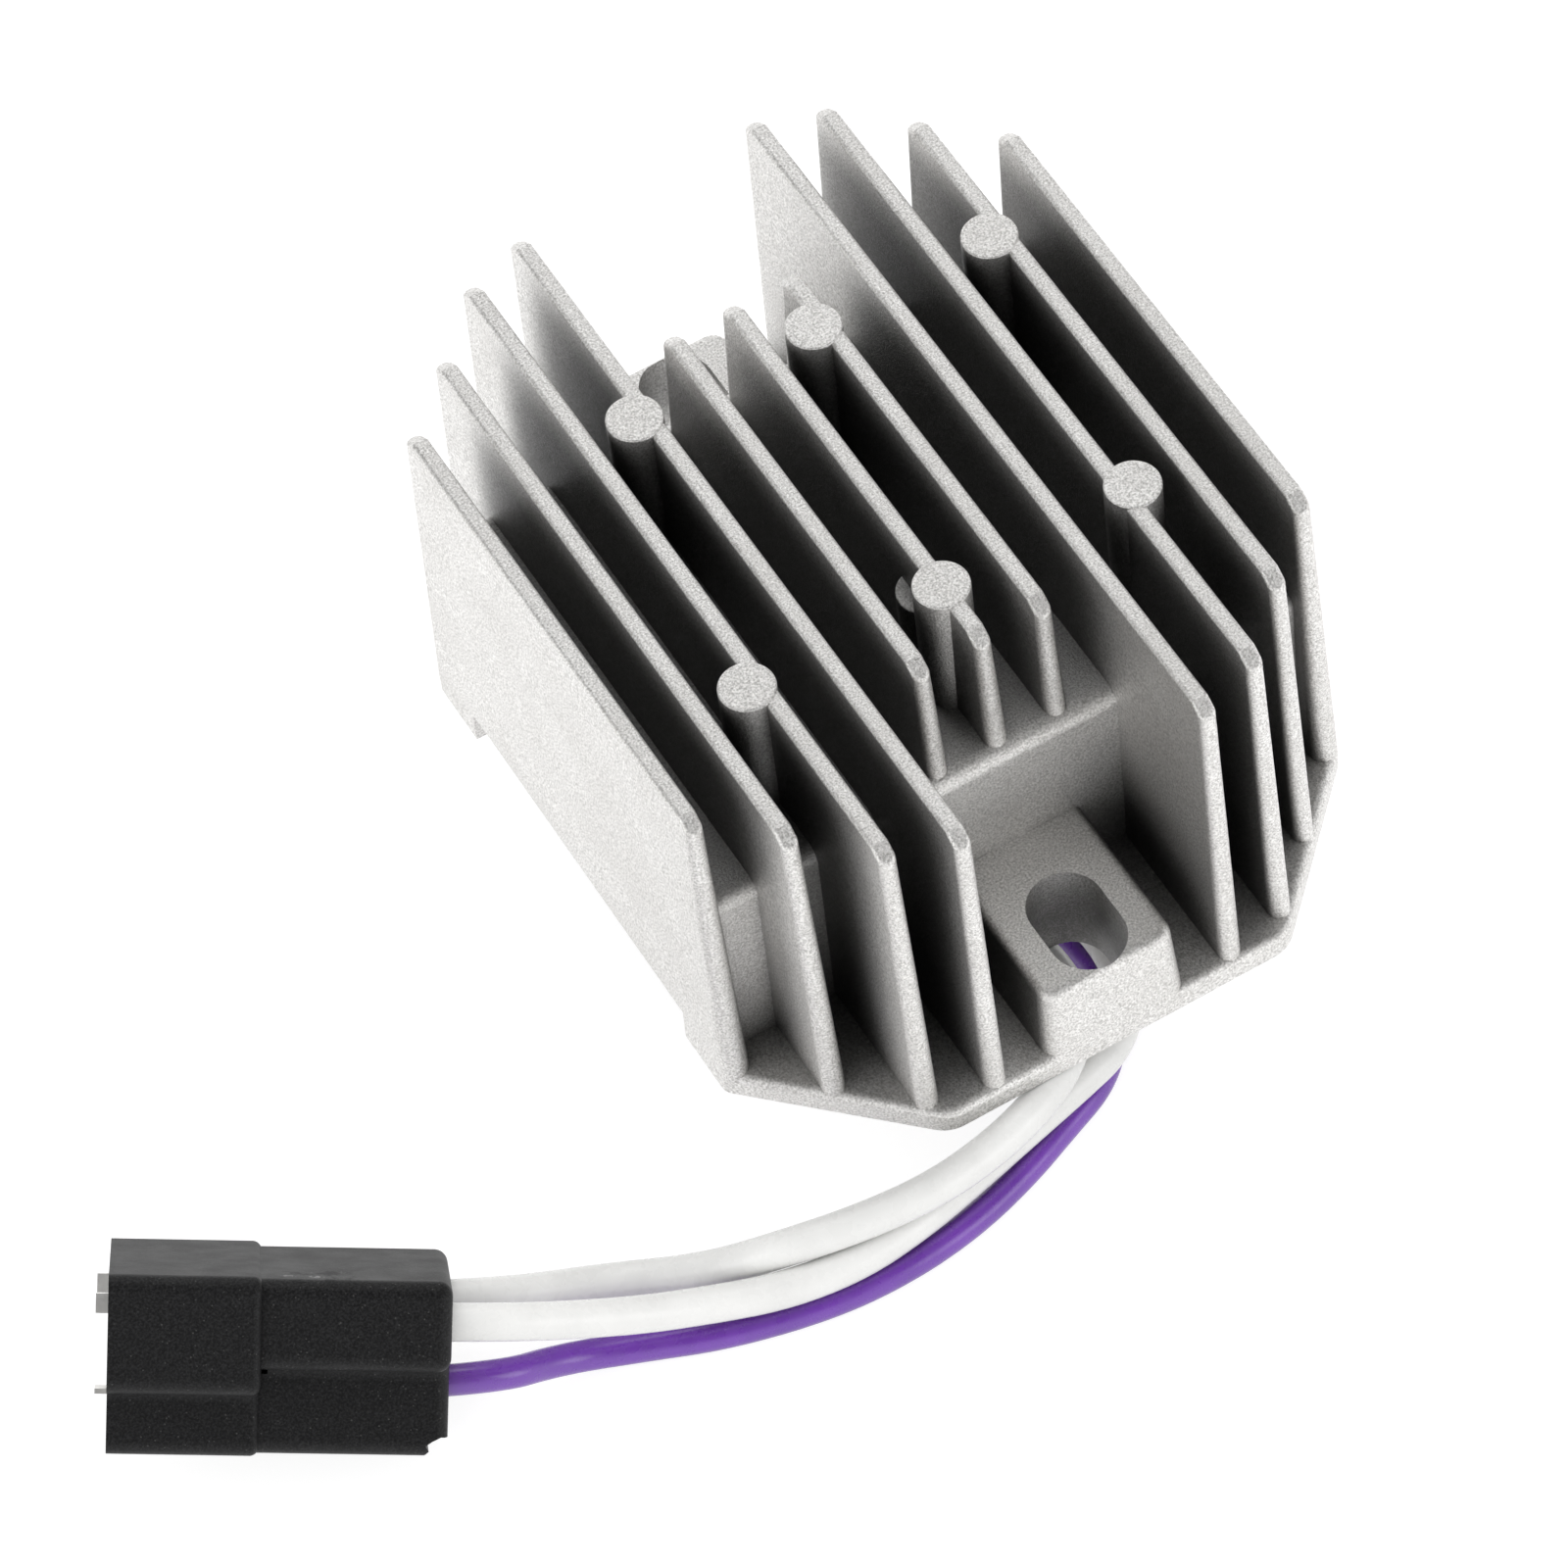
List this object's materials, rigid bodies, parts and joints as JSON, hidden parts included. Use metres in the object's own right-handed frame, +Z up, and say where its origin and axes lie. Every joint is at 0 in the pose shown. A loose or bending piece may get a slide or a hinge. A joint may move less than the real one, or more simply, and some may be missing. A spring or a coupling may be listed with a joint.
{
  "type": "voltage regulator",
  "caption": "Finned cast aluminium voltage regulator with slotted mounting ears, potted electronics, and short wires ending in a T-shaped blade connector.",
  "frame": {"origin": "midway between the two mounting slots, on the plane of the feet that bolts down", "axes": "+X across the fins, +Y along the fins from the wire end to the plain end, +Z up through the fins"},
  "size_m": [0.1263, 0.087, 0.0486],
  "materials": {
    "cast_aluminium": "grainy blasted die casting",
    "potting_resin": "black cast resin",
    "board_laminate": "green solder mask",
    "pad_silicone": "grey silicone sheet",
    "package_epoxy": "moulded epoxy",
    "resistor_lacquer": "lacquer",
    "diode_glass": "glazed body",
    "capacitor_sleeve": "shrunk sleeve",
    "tinned_copper": "soldered strands",
    "white_insulation": "satin extruded vinyl",
    "purple_insulation": "satin extruded vinyl",
    "black_nylon": "fine grained moulding",
    "tinned_brass": "bright tin"
  },
  "bodies": {
    "root": {"heat_sink": "cast_aluminium", "potting_compound": "potting_resin", "circuit_board": "board_laminate", "thermal_pad": "pad_silicone", "thyristor_1": "package_epoxy", "thyristor_2": "package_epoxy", "rectifier_diode_1": "package_epoxy", "rectifier_diode_2": "package_epoxy", "gate_resistor_1": "resistor_lacquer", "gate_resistor_2": "resistor_lacquer", "sense_resistor": "resistor_lacquer", "zener_diode": "diode_glass", "filter_capacitor": "capacitor_sleeve", "control_transistor": "package_epoxy", "conductor_end_1": "tinned_copper", "conductor_end_2": "tinned_copper", "conductor_end_3": "tinned_copper", "white_wire_1": "white_insulation", "white_wire_2": "white_insulation", "purple_wire": "purple_insulation", "connector_housing": "black_nylon", "terminal_1": "tinned_brass", "terminal_2": "tinned_brass", "terminal_3": "tinned_brass"}
  },
  "joints": []
}
